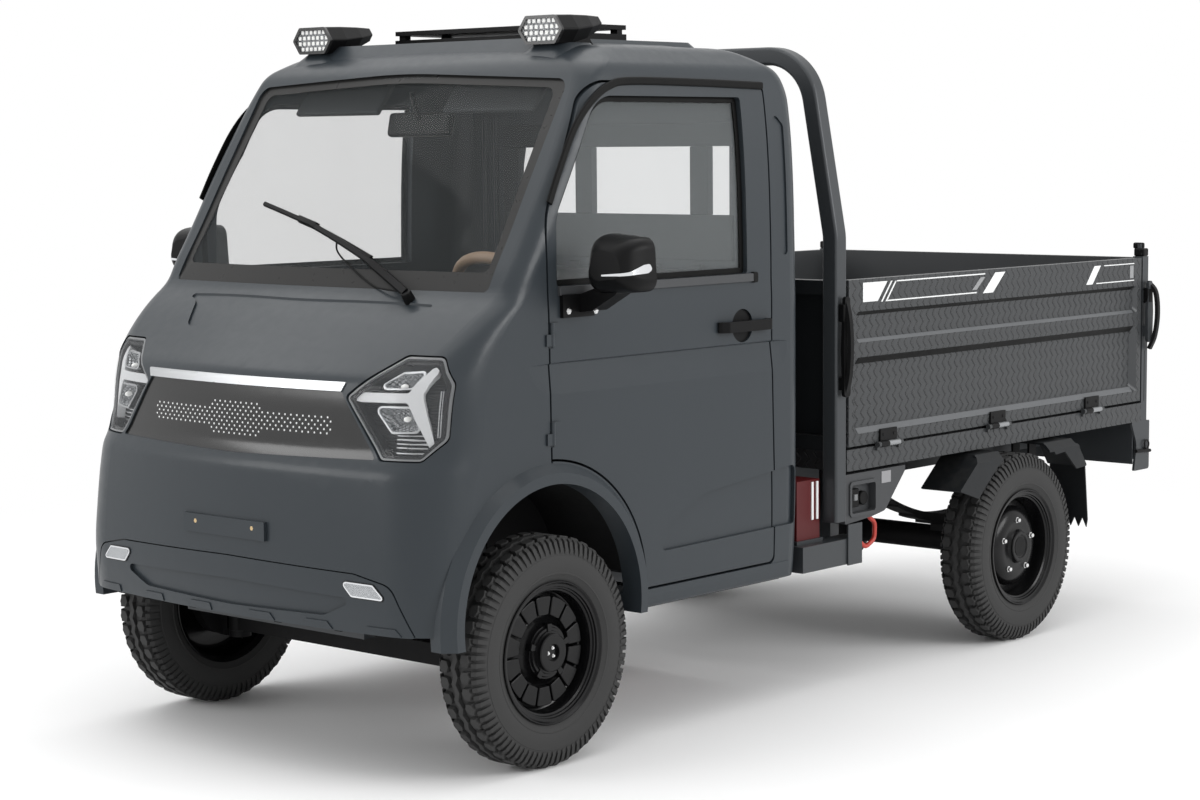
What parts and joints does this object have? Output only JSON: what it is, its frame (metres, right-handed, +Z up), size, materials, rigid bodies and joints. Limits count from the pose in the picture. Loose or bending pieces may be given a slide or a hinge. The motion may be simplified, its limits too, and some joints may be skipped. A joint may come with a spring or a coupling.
{
  "type": "electric mini truck",
  "caption": "Small electric cargo truck: rounded hollow cab, swinging doors, steered front wheels, tubular hoop and an open drop-side load bed.",
  "frame": {"origin": "on the ground, under the middle of the outer box", "axes": "+Z up, the truck faces -Y, its left side is +X"},
  "size_m": [1.713, 3.4, 1.8377],
  "materials": {
    "body_paint": "satin",
    "frame_paint": "satin",
    "bed_paint": "satin",
    "black_plastic": "matte",
    "gloss_black": "gloss",
    "bright_trim": "polished",
    "lamp_glass": "clear",
    "window_glass": "clear",
    "tyre_rubber": "matte",
    "wheel_steel": "satin",
    "seat_leather": "satin",
    "wheel_leather": "satin",
    "interior": "matte",
    "spring_steel": "dull",
    "cast": "rough",
    "battery_case": "matte",
    "grey_plastic": "matte",
    "cable_sheath": "matte"
  },
  "bodies": {
    "truck": {"chassis_frame": "frame_paint", "cab_nose": "body_paint", "cab_side_left": "body_paint", "cab_side_right": "body_paint", "cab_roof": "body_paint", "cab_rear_wall": "body_paint", "cab_floor": "interior", "dashboard": "interior", "front_bumper": "body_paint", "plate_bracket": "body_paint", "windshield": "window_glass", "rear_window": "window_glass", "grille_panel": "gloss_black", "trim_strip": "bright_trim", "headlamps": "lamp_glass", "fog_lamps": "lamp_glass", "roof_lamps": "black_plastic", "roof_hatch": "black_plastic", "wiper": "black_plastic", "seat_base": "interior", "seat_cushion": "seat_leather", "seat_back": "seat_leather", "steering_column": "black_plastic", "wheel_liners": "black_plastic", "roll_bar": "frame_paint", "bed_floor": "bed_paint", "headboard": "bed_paint", "front_latches": "frame_paint", "rear_posts": "frame_paint", "tail_lamps": "grey_plastic", "rear_axle": "cast", "leaf_springs": "spring_steel", "front_axle": "cast", "mudguards": "black_plastic", "battery_box": "battery_case", "socket_box": "grey_plastic", "red_unit": "battery_case", "red_cable": "cable_sheath"},
    "steering_wheel": {"steering_wheel": "wheel_leather"},
    "door_left": {"door_left": "body_paint", "door_glass_left": "window_glass", "door_fittings_left": "black_plastic"},
    "side_board_left": {"side_board_left": "bed_paint"},
    "knuckle_left": {"knuckle_left": "cast"},
    "wheel_front_left": {"tyre_front_left": "tyre_rubber", "rim_front_left": "wheel_steel"},
    "wheel_rear_left": {"tyre_rear_left": "tyre_rubber", "rim_rear_left": "wheel_steel"},
    "door_right": {"door_right": "body_paint", "door_glass_right": "window_glass", "door_fittings_right": "black_plastic"},
    "side_board_right": {"side_board_right": "bed_paint"},
    "knuckle_right": {"knuckle_right": "cast"},
    "wheel_front_right": {"tyre_front_right": "tyre_rubber", "rim_front_right": "wheel_steel"},
    "wheel_rear_right": {"tyre_rear_right": "tyre_rubber", "rim_rear_right": "wheel_steel"},
    "tailgate": {"tailgate": "bed_paint"}
  },
  "joints": [
    {"name": "steering_wheel_turn", "type": "hinge", "parent": "truck", "child": "steering_wheel", "pos_m": [0.33, -1.005, 1.085], "axis": [0, 0.7071, 0.7071], "range_deg": [-420, 420]},
    {"name": "steer_left", "type": "hinge", "parent": "truck", "child": "knuckle_left", "pos_m": [0.4945, -1.23, 0.285], "axis": [0, 0, 1], "range_deg": [-28, 28]},
    {"name": "wheel_front_left_roll", "type": "hinge", "parent": "knuckle_left", "child": "wheel_front_left", "pos_m": [0.6025, -1.23, 0.285], "axis": [1, 0, 0], "continuous": true},
    {"name": "wheel_rear_left_roll", "type": "hinge", "parent": "truck", "child": "wheel_rear_left", "pos_m": [0.6225, 0.87, 0.285], "axis": [1, 0, 0], "continuous": true},
    {"name": "door_left_swing", "type": "hinge", "parent": "truck", "child": "door_left", "pos_m": [0.652, -1.212, 1], "axis": [0, 0, -1], "range_deg": [0, 65]},
    {"name": "side_board_left_drop", "type": "hinge", "parent": "truck", "child": "side_board_left", "pos_m": [0.656, 0.82, 0.664], "axis": [0, 1, 0], "range_deg": [0, 130]},
    {"name": "steer_right", "type": "hinge", "parent": "truck", "child": "knuckle_right", "pos_m": [-0.4945, -1.23, 0.285], "axis": [0, 0, 1], "range_deg": [-28, 28]},
    {"name": "wheel_front_right_roll", "type": "hinge", "parent": "knuckle_right", "child": "wheel_front_right", "pos_m": [-0.6025, -1.23, 0.285], "axis": [1, 0, 0], "continuous": true},
    {"name": "wheel_rear_right_roll", "type": "hinge", "parent": "truck", "child": "wheel_rear_right", "pos_m": [-0.6225, 0.87, 0.285], "axis": [1, 0, 0], "continuous": true},
    {"name": "door_right_swing", "type": "hinge", "parent": "truck", "child": "door_right", "pos_m": [-0.652, -1.212, 1], "axis": [0, 0, 1], "range_deg": [0, 65]},
    {"name": "side_board_right_drop", "type": "hinge", "parent": "truck", "child": "side_board_right", "pos_m": [-0.656, 0.82, 0.664], "axis": [0, -1, 0], "range_deg": [0, 130]},
    {"name": "tailgate_drop", "type": "hinge", "parent": "truck", "child": "tailgate", "pos_m": [0, 1.6805, 0.664], "axis": [-1, 0, 0], "range_deg": [0, 150]}
  ],
  "couplings": [
    {"joint": "steer_left", "follows": "steering_wheel_turn", "ratio": 0.066667},
    {"joint": "steer_right", "follows": "steering_wheel_turn", "ratio": 0.066667}
  ]
}
